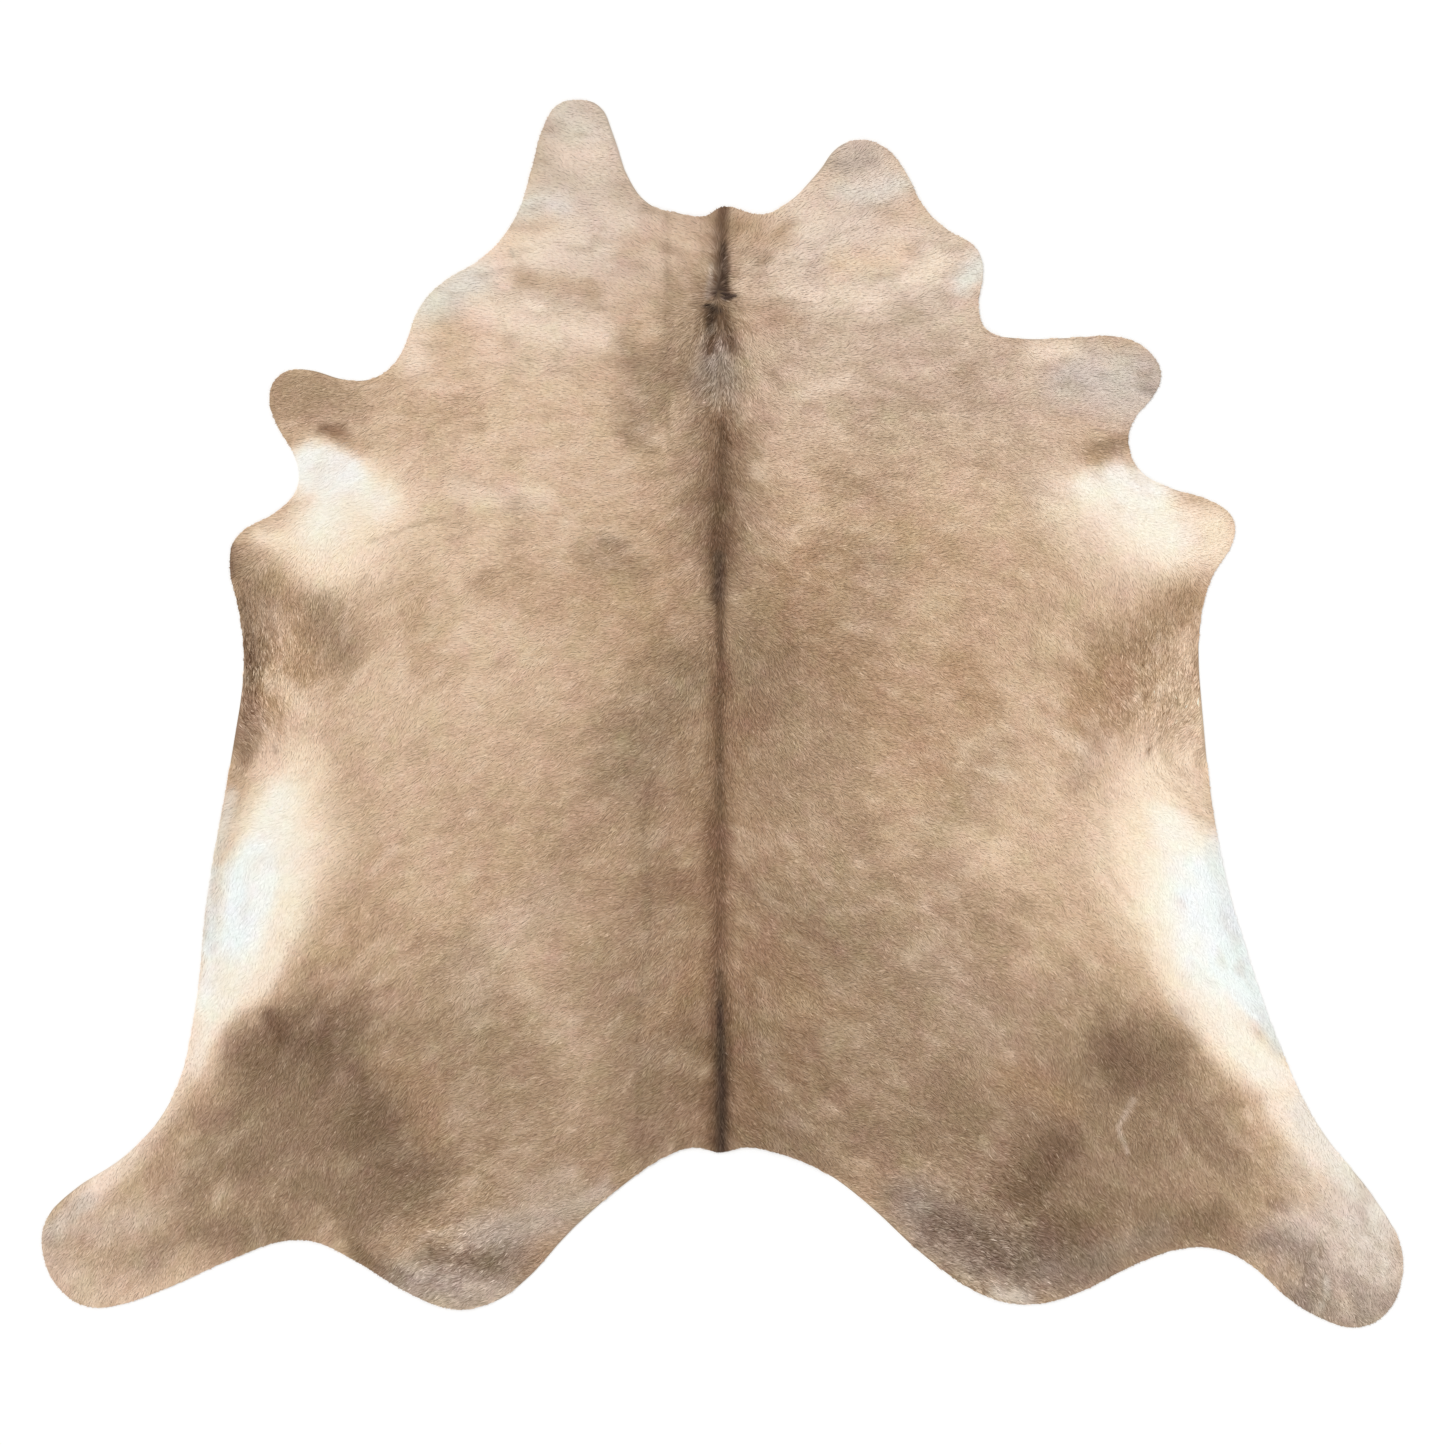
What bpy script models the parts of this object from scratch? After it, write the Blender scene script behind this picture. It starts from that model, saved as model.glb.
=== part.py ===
"""Cowhide rug: one whole hair-on hide, trimmed along its natural edge, lying flat, hair side up.

Units are metres and +Z is up. The origin is on the floor, under the middle of the hide.
+X runs across the hide, and +Y runs up its back to the neck.
"""

from collections import namedtuple
from math import cos, exp, pi, sin

import bmesh
import bpy

MM = 0.001

# Driving dimensions
HIDE_WIDTH = 2.330  # from the tip of one hind shank to the tip of the other
HIDE_LENGTH = 2.100  # from the highest neck corner to the lowest hind shank
BELLY_THICKNESS = 0.0038  # thin belly leather and the coat lying flat on it
BACK_THICKNESS = 0.0062  # the same over the spine
RUMP_THICKNESS = 0.0008  # how much thicker the leather is over the rump than at the neck
BACK_HALF_WIDTH = 0.55  # how far out from the spine the thick leather reaches

# The spine shows as a shallow trough, because the coat parts there
SPINE_DEPTH = 0.0009
SPINE_HALF_WIDTH = 0.014

# The leather is never quite even: long low waves, each with its length and its height
WAVE_LENGTHS = (0.62, 0.41, 0.29)
WAVE_HEIGHTS = (0.00035, 0.00025, 0.00015)
WAVE_HEADINGS = (0.5, 1.9, 2.7)  # radians from +X

# How finely the hair side and the cut edge are drawn
COLUMNS = 64
ROWS = 46
SPINE_CROWDING = 2.4  # columns this much closer at the spine than on average
EDGE_STEPS = 4  # straight steps between two edge points
BLANK_MARGIN = 0.03  # how far the blank sticks out past the hide
TRIM_HEIGHT = 0.020  # the trimming shape is taller than the hide is thick

HIDE_COLOUR = (0.515, 0.358, 0.240, 1.0)  # champagne tan hair
HIDE_ROUGHNESS = 0.7

# The cut edge, clockwise from the middle of the neck as seen from the hair side.
# A point is how far out from the spine it is, and how far up from the middle, in millimetres.
Stretch = namedtuple("Stretch", "part points")
EDGE = (
    Stretch("right half of the neck", ((0, 868), (62, 854), (95, 863))),
    Stretch("right cheek", ((163, 926), (198, 970), (237, 982), (277, 969), (310, 932), (345, 866))),
    Stretch("right shoulder", ((386, 827), (430, 801), (445, 768), (438, 687), (454, 655))),
    Stretch("right fore shank, front", ((500, 643), (590, 643), (688, 643), (735, 614))),
    Stretch("right fore shank, back", ((750, 578), (735, 542), (703, 503), (694, 462))),
    Stretch("right armpit", ((715, 415), (757, 390), (848, 358), (873, 334), (874, 298), (838, 236))),
    Stretch("right flank", ((818, 165), (823, -20), (852, -240), (893, -395), (963, -592))),
    Stretch("right hind shank, outer side", ((1014, -697), (1130, -850), (1161, -915), (1160, -975))),
    Stretch("right hind shank, inner side", ((1138, -1022), (1090, -1049), (1017, -1030))),
    Stretch("right hock", ((963, -995), (908, -945), (855, -917), (795, -913), (720, -935))),
    Stretch("right rump", ((595, -995), (519, -1010), (445, -993), (353, -933), (240, -831), (170, -781))),
    Stretch("tail root", ((95, -751), (38, -741), (-4, -750), (-45, -741), (-93, -754))),
    Stretch("left rump", ((-165, -802), (-255, -879), (-353, -982), (-405, -1011), (-460, -1018), (-526, -996))),
    Stretch("left hock", ((-645, -926), (-700, -902), (-755, -902), (-825, -926))),
    Stretch("left hind shank, inner side", ((-961, -986), (-1035, -1011), (-1085, -1014), (-1128, -990))),
    Stretch("left hind shank, outer side", ((-1160, -935), (-1159, -870), (-1122, -824), (-1016, -751))),
    Stretch("left flank", ((-943, -660), (-906, -530), (-881, -310), (-838, -60), (-819, 86))),
    Stretch("left armpit", ((-825, 165), (-843, 262), (-832, 302), (-759, 348), (-728, 384), (-727, 430))),
    Stretch("left fore shank, back", ((-764, 498), (-775, 545), (-759, 578), (-722, 590))),
    Stretch("left fore shank, front", ((-635, 570), (-588, 578))),
    Stretch("left shoulder", ((-552, 612), (-521, 690), (-489, 730), (-402, 787))),
    Stretch("left cheek, outer side", ((-353, 851), (-330, 918), (-303, 1012), (-282, 1042))),
    Stretch("left cheek, inner side", ((-250, 1050), (-212, 1041), (-188, 993))),
    Stretch("left half of the neck", ((-158, 911), (-124, 871), (-76, 857), (-30, 851))),
)

# Soft creases where the hide was folded for the tannery, from one end to the other, in metres
Crease = namedtuple("Crease", "x0 y0 x1 y1 half_width depth")
CREASES = (
    Crease(-0.130, 0.040, -0.122, -0.745, 0.020, 0.0006),
    Crease(-0.086, 0.850, -0.088, 0.450, 0.020, 0.0005),
    Crease(0.300, 0.560, 0.690, 0.500, 0.030, 0.0004),
    Crease(-0.300, 0.520, -0.660, 0.470, 0.030, 0.0004),
)


def clear_scene():
    for obj in list(bpy.data.objects):
        bpy.data.objects.remove(obj, do_unlink=True)


def new_collection(name):
    collection = bpy.data.collections.new(name)
    bpy.context.scene.collection.children.link(collection)
    return collection


def bell(distance, half_width):
    """1 at the middle, falling smoothly to almost nothing two half widths out."""
    return exp(-((distance / half_width) ** 2))


def crease_depth(crease, x, y):
    """How deep a crease is here: it fades out past both of its ends."""
    run_x = crease.x1 - crease.x0
    run_y = crease.y1 - crease.y0
    length = (run_x**2 + run_y**2) ** 0.5
    along = ((x - crease.x0) * run_x + (y - crease.y0) * run_y) / length
    aside = ((x - crease.x0) * run_y - (y - crease.y0) * run_x) / length
    past_end = max(-along, along - length, 0.0)
    return crease.depth * bell(aside, crease.half_width) * bell(past_end, 2 * crease.half_width)


def hair_side_height(x, y):
    """Height of the hair side over the floor: thick at the back and rump, thin at the belly."""
    to_rump = 0.5 - y / HIDE_LENGTH
    back = BACK_THICKNESS - BELLY_THICKNESS + RUMP_THICKNESS * to_rump
    height = BELLY_THICKNESS + back * bell(x, BACK_HALF_WIDTH)
    for length, low, heading in zip(WAVE_LENGTHS, WAVE_HEIGHTS, WAVE_HEADINGS):
        height += low * sin(2 * pi * (x * cos(heading) + y * sin(heading)) / length)
    height -= SPINE_DEPTH * bell(x, SPINE_HALF_WIDTH)
    for crease in CREASES:
        height -= crease_depth(crease, x, y)
    return height


def crowded(place):
    """A column's place from -1 to 1, moved so that the columns crowd towards the spine."""
    slope = 1 / SPINE_CROWDING
    return slope * place + (1 - slope) * place * abs(place)


def hide_blank(collection):
    """A flat blank, larger than the hide and reaching below it, with the hair side's relief on top."""
    shape = bmesh.new()
    bmesh.ops.create_grid(shape, x_segments=COLUMNS, y_segments=ROWS, size=1)
    half_width = HIDE_WIDTH / 2 + BLANK_MARGIN
    half_length = HIDE_LENGTH / 2 + BLANK_MARGIN
    for vert in shape.verts:
        x = crowded(vert.co.x) * half_width
        y = vert.co.y * half_length
        vert.co = (x, y, hair_side_height(x, y))
    sides = bmesh.ops.extrude_face_region(shape, geom=shape.faces[:])
    for item in sides["geom"]:
        if isinstance(item, bmesh.types.BMVert):
            item.co.z = -TRIM_HEIGHT
    bmesh.ops.recalc_face_normals(shape, faces=shape.faces)
    mesh = bpy.data.meshes.new("hide_blank")
    shape.to_mesh(mesh)
    shape.free()
    blank = bpy.data.objects.new("hide_blank", mesh)
    blank.hide_render = True
    blank.display_type = "WIRE"
    collection.objects.link(blank)
    return blank


def edge_curve(collection):
    """The cut edge as a smooth closed curve, filled and drawn up from the floor."""
    curve = bpy.data.curves.new("hide_edge", "CURVE")
    curve.dimensions = "2D"
    curve.fill_mode = "BOTH"
    curve.extrude = TRIM_HEIGHT / 2
    curve.resolution_u = EDGE_STEPS
    points = [point for stretch in EDGE for point in stretch.points]
    spline = curve.splines.new("BEZIER")
    spline.bezier_points.add(len(points) - 1)
    for knot, (out, up) in zip(spline.bezier_points, points):
        knot.co = (out * MM, up * MM, 0)
        knot.handle_left_type = "AUTO"
        knot.handle_right_type = "AUTO"
    spline.use_cyclic_u = True
    edge = bpy.data.objects.new("hide_edge", curve)
    edge.location.z = TRIM_HEIGHT / 2
    collection.objects.link(edge)
    return edge


def as_mesh(curve_object, name, collection):
    """The curve made a mesh with its caps welded on. The curve itself is removed."""
    bpy.context.view_layer.update()
    graph = bpy.context.evaluated_depsgraph_get()
    mesh = bpy.data.meshes.new_from_object(curve_object.evaluated_get(graph))
    mesh.name = name
    shape = bmesh.new()
    shape.from_mesh(mesh)
    bmesh.ops.remove_doubles(shape, verts=shape.verts, dist=0.00001)
    bmesh.ops.recalc_face_normals(shape, faces=shape.faces)
    shape.to_mesh(mesh)
    shape.free()
    solid = bpy.data.objects.new(name, mesh)
    solid.matrix_world = curve_object.matrix_world
    collection.objects.link(solid)
    bpy.data.objects.remove(curve_object)
    return solid


def hide_material():
    material = bpy.data.materials.new("hair_on_cowhide")
    material.use_nodes = True
    shader = material.node_tree.nodes["Principled BSDF"]
    shader.inputs["Base Color"].default_value = HIDE_COLOUR
    shader.inputs["Roughness"].default_value = HIDE_ROUGHNESS
    shader.inputs["Metallic"].default_value = 0.0
    return material


def build_cowhide(parts, cutters):
    """The hide: what its edge and the blank share, flat underneath, with the relief on top."""
    cowhide = as_mesh(edge_curve(parts), "cowhide", parts)
    trim = cowhide.modifiers.new("hair side", "BOOLEAN")
    trim.operation = "INTERSECT"
    trim.solver = "EXACT"
    trim.object = hide_blank(cutters)
    cowhide.data.materials.clear()
    cowhide.data.materials.append(hide_material())
    return cowhide


def main():
    clear_scene()
    parts = new_collection("Cowhide rug")
    cutters = new_collection("Cutters")
    build_cowhide(parts, cutters)


main()
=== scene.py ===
# %% [markdown]
# # A cowhide rug, hair side up
#
# The real object is one thing: a whole hide, tanned with its short coat still on, trimmed along
# its natural edge and laid on the floor. It has no lining, binding or stitching. A hide could be
# drawn as one flat sheet with a picture of hair on it, but its edge, its sheen and its look from
# the side all come from the hair itself. So this lesson makes two things: the skin, a thin sheet
# of leather, and the coat, some hundreds of thousands of small locks that lie the way that
# a cow's hair lies.

from collections import namedtuple
from math import pi, radians

import bpy
import numpy as np
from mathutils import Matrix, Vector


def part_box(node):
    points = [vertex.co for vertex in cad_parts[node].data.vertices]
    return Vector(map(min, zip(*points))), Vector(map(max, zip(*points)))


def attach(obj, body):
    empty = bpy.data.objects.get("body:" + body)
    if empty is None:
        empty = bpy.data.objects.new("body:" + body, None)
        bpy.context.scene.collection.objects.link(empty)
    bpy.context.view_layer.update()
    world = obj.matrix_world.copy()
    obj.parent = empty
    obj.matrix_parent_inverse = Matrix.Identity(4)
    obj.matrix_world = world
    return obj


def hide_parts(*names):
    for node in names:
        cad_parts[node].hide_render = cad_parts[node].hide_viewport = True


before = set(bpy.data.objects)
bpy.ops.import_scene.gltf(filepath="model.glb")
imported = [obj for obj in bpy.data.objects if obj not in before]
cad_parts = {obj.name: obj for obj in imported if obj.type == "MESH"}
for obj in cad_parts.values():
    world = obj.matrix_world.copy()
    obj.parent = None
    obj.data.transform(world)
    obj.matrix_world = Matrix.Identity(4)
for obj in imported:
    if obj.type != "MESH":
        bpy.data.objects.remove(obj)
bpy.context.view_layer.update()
hide_low, hide_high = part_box("cowhide")
MM = 0.001
print("solid hide, m:", [round(high - low, 4) for low, high in zip(hide_low, hide_high)])

# %% [markdown]
# ## The camera
#
# The photograph looks straight down on the hide. A cow's hide is flat, so a long lens far above
# it and a parallel view look the same. The long lens was chosen, because such a camera can be
# moved round the rug later without setting it up again.

# %% Camera, straight above the hide
PHOTO_PIXELS = 1445
METRES_PER_PIXEL = 0.0017115
PHOTO_MIDDLE_UP = -0.0146  # the photograph's middle is a little nearer to the tail than the hide's
LENS = 100.0
SENSOR = 36.0

view_width = PHOTO_PIXELS * METRES_PER_PIXEL
bpy.ops.object.select_all(action="DESELECT")
bpy.ops.object.camera_add(location=(0, PHOTO_MIDDLE_UP, view_width * LENS / SENSOR), rotation=(0, 0, 0))
camera = bpy.context.object
camera.name = "camera"
camera.data.lens = LENS
camera.data.sensor_width = SENSOR
bpy.context.scene.camera = camera
print("camera height, m:", round(camera.location.z, 3))

# %% [markdown]
# ## Colours and nodes
#
# Colours are picked as hex codes, the way that a screen shows them. Blender's shaders count in
# light, so one function turns a code into light. A second one adds a node with its settings and
# its links, which keeps each material below as short as a recipe. The standard view transform
# shows a colour as it was picked: the filmic ones would grey the white flanks.

# %% Colours and nodes
bpy.context.scene.view_settings.view_transform = "Standard"


def as_screen(code):
    """A hex code as three numbers from 0 to 1."""
    return np.array([int(code[place:place + 2], 16) for place in (1, 3, 5)]) / 255


def as_light(screen):
    """Screen colour turned to light, by the sRGB rule."""
    screen = np.asarray(screen, float)
    return np.where(screen <= 0.04045, screen / 12.92, ((screen + 0.055) / 1.055) ** 2.4)


def rgba(code):
    return (*as_light(as_screen(code)), 1.0)


def set_sockets(node, values):
    for socket, value in values.items():
        node.inputs[socket].default_value = value


def add_node(tree, kind, settings=None, links=None, values=None):
    """A node of this kind. links gives each input socket's source, values each socket's number."""
    node = tree.nodes.new(kind)
    for name, setting in (settings or {}).items():
        setattr(node, name, setting)
    set_sockets(node, values or {})
    for socket, source in (links or {}).items():
        tree.links.new(source, node.inputs[socket])
    return node


def new_material(name):
    material = bpy.data.materials.new(name)
    material.use_nodes = True
    tree = material.node_tree
    return material, tree, tree.nodes["Principled BSDF"]


# %% [markdown]
# ## Floor and light
#
# The photograph has a plain white ground and no hard shadow. A pale matt floor stands in for the
# ground. Light comes from all round, and a little more from above the left shoulder, so that each
# lock has a lighter side. A soft box near the hide would leave one end darker, so the lamp is
# a wide one that is very far away, and lights the whole floor alike.

# %% Floor and light
FLOOR_SIZE = 60  # wide enough that none of its corners shows in a low view
FLOOR_DROP = 0.3 * MM  # the floor stays this far clear of the hide's flat underside
SKY_STRENGTH = 0.71
LAMP_TILT = (radians(-14), radians(-21), 0)
LAMP_STRENGTH = 1.25
LAMP_SPREAD = radians(35)

bpy.ops.object.select_all(action="DESELECT")
bpy.ops.mesh.primitive_plane_add(size=FLOOR_SIZE, location=(0, 0, -FLOOR_DROP))
floor = bpy.context.object
floor.name = "floor"
floor_paint, tree, shader = new_material("pale matt floor paint")
set_sockets(shader, {"Base Color": rgba("#fbfbfb"), "Roughness": 0.9, "Specular IOR Level": 0.1})
floor.data.materials.append(floor_paint)

world = bpy.data.worlds.new("studio")
bpy.context.scene.world = world
world.use_nodes = True
set_sockets(world.node_tree.nodes["Background"], {"Color": (1, 1, 1, 1), "Strength": SKY_STRENGTH})

bpy.ops.object.select_all(action="DESELECT")
bpy.ops.object.light_add(type="SUN", location=(-2.4, 1.6, 6.0), rotation=LAMP_TILT)
lamp = bpy.context.object
lamp.name = "far_soft_lamp"
lamp.data.energy = LAMP_STRENGTH
lamp.data.angle = LAMP_SPREAD
print("stage: floor, sky and", lamp.name)

# %% [markdown]
# ## The skin
#
# Under the hair is leather, 1.5 to 3 mm thick: thin at the belly, thick along the back, and never
# quite even. It could be drawn anew, but its edge is the frame's edge, so a copy of the solid is
# opened up instead: only its hair side is kept, subdivided once to smooth the edge, laid at the
# leather's own height, given thickness again, and pressed flat underneath.

# %% The leather's height
Crease = namedtuple("Crease", "part x0 y0 x1 y1 half_width depth")  # all in metres
CREASES = (
    Crease("fold beside the spine, rump", -0.130, 0.040, -0.122, -0.745, 0.018, 0.0004),
    Crease("fold beside the spine, neck", -0.086, 0.850, -0.088, 0.450, 0.018, 0.0004),
    Crease("fold to the right fore shank", 0.300, 0.560, 0.690, 0.500, 0.028, 0.0003),
    Crease("fold to the left fore shank", -0.300, 0.520, -0.660, 0.470, 0.028, 0.0003),
)
CREASE_END = 0.05  # a crease fades over this much beyond its ends
BELLY_LEATHER = 1.7 * MM
BACK_LEATHER = 2.9 * MM
BACK_HALF_WIDTH = 0.55
SWELLS = ((0.62, 0.5, 0.14 * MM), (0.37, 1.9, 0.10 * MM), (0.21, 2.7, 0.06 * MM))  # length, heading, height


def bell(distance, half_width):
    """1 in the middle, falling smoothly to almost nothing two half widths out."""
    return np.exp(-((distance / half_width) ** 2))


def leather_height(x, y):
    height = BELLY_LEATHER + (BACK_LEATHER - BELLY_LEATHER) * bell(x, BACK_HALF_WIDTH)
    for length, heading, swell in SWELLS:
        height = height + swell * np.sin(2 * pi * (x * np.cos(heading) + y * np.sin(heading)) / length)
    for crease in CREASES:
        run_x = crease.x1 - crease.x0
        run_y = crease.y1 - crease.y0
        length = np.hypot(run_x, run_y)
        along = ((x - crease.x0) * run_x + (y - crease.y0) * run_y) / length
        aside = ((x - crease.x0) * run_y - (y - crease.y0) * run_x) / length
        past_end = np.maximum(np.maximum(-along, along - length), 0)
        height = height - crease.depth * bell(aside, crease.half_width) * bell(past_end, CREASE_END)
    return height


# %% Points of a mesh, read and written as one array
def points_of(mesh):
    flat = np.empty(len(mesh.vertices) * 3)
    mesh.vertices.foreach_get("co", flat)
    return flat.reshape(-1, 3)


def put_points(mesh, points):
    mesh.vertices.foreach_set("co", points.ravel())
    mesh.update()


def select_faces(mesh, chosen):
    """From object mode: selects the faces whose normal passes the test, and stays in edit mode."""
    bpy.ops.object.mode_set(mode="EDIT")
    bpy.ops.mesh.select_mode(type="FACE")
    bpy.ops.mesh.select_all(action="DESELECT")
    bpy.ops.object.mode_set(mode="OBJECT")
    for face in mesh.polygons:
        face.select = chosen(face.normal)
    bpy.ops.object.mode_set(mode="EDIT")


# %% The skin's hair side
JOIN_WITHIN = 0.01 * MM

bpy.ops.object.select_all(action="DESELECT")
skin = bpy.data.objects.new("skin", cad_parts["cowhide"].data.copy())
skin.data.name = "skin"
bpy.context.collection.objects.link(skin)
skin.select_set(True)
bpy.context.view_layer.objects.active = skin
bpy.ops.object.mode_set(mode="EDIT")
bpy.ops.mesh.select_all(action="SELECT")
bpy.ops.mesh.remove_doubles(threshold=JOIN_WITHIN)
bpy.ops.object.mode_set(mode="OBJECT")
select_faces(skin.data, lambda normal: normal.z < 0.5)
bpy.ops.mesh.delete(type="FACE")
bpy.ops.mesh.select_all(action="SELECT")
bpy.ops.mesh.tris_convert_to_quads()
bpy.ops.object.mode_set(mode="OBJECT")
smoother = skin.modifiers.new("smooth edge", "SUBSURF")
smoother.levels = 1
smoother.render_levels = 1
bpy.ops.object.modifier_apply(modifier=smoother.name)
points = points_of(skin.data)
points[:, 2] = leather_height(points[:, 0], points[:, 1])
put_points(skin.data, points)
print("hair side:", len(skin.data.polygons), "faces")

# %% [markdown]
# ## Where the edge is
#
# Hair at the rim has to stop where the hide stops. Each lock could be tested against the edge by
# itself, which is slow, so the distance to the rim is worked out once, on a grid laid over the
# hide, and read from there. Inside the hide it counts up, and outside it counts down.

# %% A grid over the hide, and how to read it
GRID_STEP = 5 * MM
GRID_MARGIN = 0.04
RIM_REACH = 0.04  # the distance is only worked out this near to the rim

grid_x = np.arange(hide_low.x - GRID_MARGIN, hide_high.x + GRID_MARGIN, GRID_STEP)
grid_y = np.arange(hide_low.y - GRID_MARGIN, hide_high.y + GRID_MARGIN, GRID_STEP)
over_x, over_y = np.meshgrid(grid_x, grid_y)


def read_grid(field, x, y):
    """The field's value at each place, blended from the four grid points round it."""
    column = np.clip((x - grid_x[0]) / GRID_STEP, 0, len(grid_x) - 1.001)
    row = np.clip((y - grid_y[0]) / GRID_STEP, 0, len(grid_y) - 1.001)
    i, j = column.astype(int), row.astype(int)
    right, up = column - i, row - j
    lower = field[j, i] * (1 - right) + field[j, i + 1] * right
    upper = field[j + 1, i] * (1 - right) + field[j + 1, i + 1] * right
    return lower * (1 - up) + upper * up


# %% Distance to the rim
def rim_edges(mesh):
    """The edges that only one face uses, each as its two end points."""
    uses = np.zeros(len(mesh.loops), int)
    mesh.loops.foreach_get("edge_index", uses)
    ends = np.zeros(len(mesh.edges) * 2, int)
    mesh.edges.foreach_get("vertices", ends)
    on_rim = np.bincount(uses, minlength=len(mesh.edges)) == 1
    return points_of(mesh)[ends.reshape(-1, 2)[on_rim]][:, :, :2]


def inside_distance(edges):
    """Distance to the rim at each grid point, less than 0 outside."""
    distance = np.full(over_x.shape, RIM_REACH)
    inside = np.zeros(over_x.shape, bool)
    for (ax, ay), (bx, by) in edges:
        columns = slice(*np.searchsorted(grid_x, (min(ax, bx) - RIM_REACH, max(ax, bx) + RIM_REACH)))
        rows = slice(*np.searchsorted(grid_y, (min(ay, by) - RIM_REACH, max(ay, by) + RIM_REACH)))
        from_x, from_y = over_x[rows, columns] - ax, over_y[rows, columns] - ay
        run_x, run_y = bx - ax, by - ay
        share = np.clip((from_x * run_x + from_y * run_y) / (run_x**2 + run_y**2), 0, 1)
        away = np.hypot(from_x - share * run_x, from_y - share * run_y)
        distance[rows, columns] = np.minimum(distance[rows, columns], away)
        first, last = np.searchsorted(grid_y, (min(ay, by), max(ay, by)))
        for row in range(first, last):
            crossing = ax + (grid_y[row] - ay) * run_x / run_y
            inside[row, np.searchsorted(grid_x, crossing):] ^= True
    return np.where(inside, distance, -distance)


rim = inside_distance(rim_edges(skin.data))
print("hide's area, square metres:", round(float((rim > 0).sum()) * GRID_STEP**2, 3))

# %% [markdown]
# ## The skin's flesh side
#
# The leather gets its thickness downwards, and its lower face is pressed flat, as a hide that has
# lain on a floor for a while is. A cut edge is square, so it isn't rounded.

# %% The skin's flesh side
bpy.context.view_layer.objects.active = skin
wall = skin.modifiers.new("leather", "SOLIDIFY")
wall.thickness = BELLY_LEATHER / 2
wall.offset = -1
bpy.ops.object.modifier_apply(modifier=wall.name)
select_faces(skin.data, lambda normal: normal.z < -0.5)
bpy.ops.transform.resize(value=(1, 1, 0), center_override=(0, 0, 0))
bpy.ops.object.mode_set(mode="OBJECT")
skin.data.shade_smooth()
skin.data.set_sharp_from_angle(angle=radians(50))
print("skin:", len(skin.data.polygons), "faces, flesh side at z", round(points_of(skin.data)[:, 2].min(), 5))

# %% [markdown]
# ## The way that the hair lies
#
# A cow's hair lies away from the nose and down towards the belly. Behind the shoulders it parts
# along the spine. At the cowlick on the withers and at the fold of each flank it turns about
# a point. Two halves of a cow are alike, so the guides below are given for one half, by how far
# out from the spine and how far up the back they are, and mirrored. Each guide pulls the hair
# round it, and the nearer one wins.

# %% Guides for the hair
# out, up and reach are in mm. slope is how far the hair falls towards the tail, in degrees:
# 0 is straight out, and 90 is to the tail.
Guide = namedtuple("Guide", "part out up slope reach")
GUIDES = [Guide(*row) for row in (
    ("poll, at the spine", 0, 860, -60, 60),
    ("poll, beside the spine", 50, 800, -35, 60),
    ("cowlick, front", 20, 730, -20, 40),
    ("cheek", 250, 950, -15, 120),
    ("neck, inner", 120, 800, -10, 100),
    ("neck, outer", 320, 800, -5, 120),
    ("cowlick, back", 0, 680, 90, 50),
    ("withers, at the spine", 0, 550, 90, 50),
    ("withers, beside", 55, 550, 45, 50),
    ("withers, out", 130, 550, 5, 70),
    ("shoulder", 280, 620, 0, 140),
    ("shoulder, outer", 420, 600, 5, 120),
    ("back, at the spine", 0, 350, 90, 50),
    ("back, beside", 55, 350, 45, 50),
    ("back, out", 130, 350, 5, 70),
    ("ribs, front", 280, 350, 0, 120),
    ("ribs, front, outer", 420, 360, 8, 100),
    ("fore shank root", 560, 560, 15, 80),
    ("fore shank", 700, 570, 10, 80),
    ("armpit, inner", 560, 380, 30, 80),
    ("armpit, middle", 660, 380, 40, 70),
    ("armpit, tip", 820, 310, -10, 70),
    ("behind the elbow", 600, 200, 50, 90),
    ("behind the elbow, outer", 700, 200, 85, 70),
    ("behind the elbow, rim", 780, 160, 110, 60),
    ("loin, at the spine", 0, 0, 88, 50),
    ("loin, beside", 85, 0, 60, 50),
    ("loin, out", 160, 0, 36, 70),
    ("ribs, middle", 260, 20, 20, 100),
    ("ribs, middle, out", 450, 20, 33, 120),
    ("flank fold", 630, 20, 47, 80),
    ("above the whorl", 700, 20, 70, 60),
    ("whorl, inner side", 700, -80, 75, 40),
    ("whorl, under", 740, -130, 40, 40),
    ("whorl, over", 750, -10, 120, 30),
    ("whorl, rim", 800, -40, 150, 40),
    ("whorl, rim, under", 800, -130, 20, 40),
    ("loin, back", 100, -200, 50, 70),
    ("side, back", 280, -200, 22, 120),
    ("side, back, out", 500, -200, 27, 120),
    ("flank, back", 680, -240, 45, 100),
    ("flank, rim", 820, -300, 75, 70),
    ("rump, at the spine", 0, -500, 90, 40),
    ("rump, beside", 80, -450, 45, 70),
    ("rump", 280, -420, 17, 120),
    ("haunch", 470, -420, 40, 120),
    ("haunch, outer", 750, -450, 62, 120),
    ("tail root", 60, -720, 50, 80),
    ("rump lobe, top", 250, -680, 22, 120),
    ("rump lobe", 420, -880, 20, 120),
    ("hock", 680, -750, 60, 140),
    ("hind shank", 950, -800, 58, 140),
    ("foot", 1070, -950, 65, 100),
)]
FAR_PULL = 0.0001  # a faint pull that every guide has everywhere
SPINE_ASIDE = -6 * MM
SPINE_WAVES = ((2.5 * MM, 9, 0), (1.5 * MM, 31, 1))  # height, how quick, where each starts
PARTING = 16 * MM  # nearer to the spine than this, the hair turns to lie along it
PARTING_LEFT = 0.12  # how much of its lean outwards is left right on the spine


def soft_step(low, high, value):
    share = np.clip((value - low) / (high - low), 0, 1)
    return share * share * (3 - 2 * share)


def spine_at(y):
    """Where the hair parts: a little left of the middle, and never quite straight."""
    return SPINE_ASIDE + sum(height * np.sin(quick * y + start) for height, quick, start in SPINE_WAVES)


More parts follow.
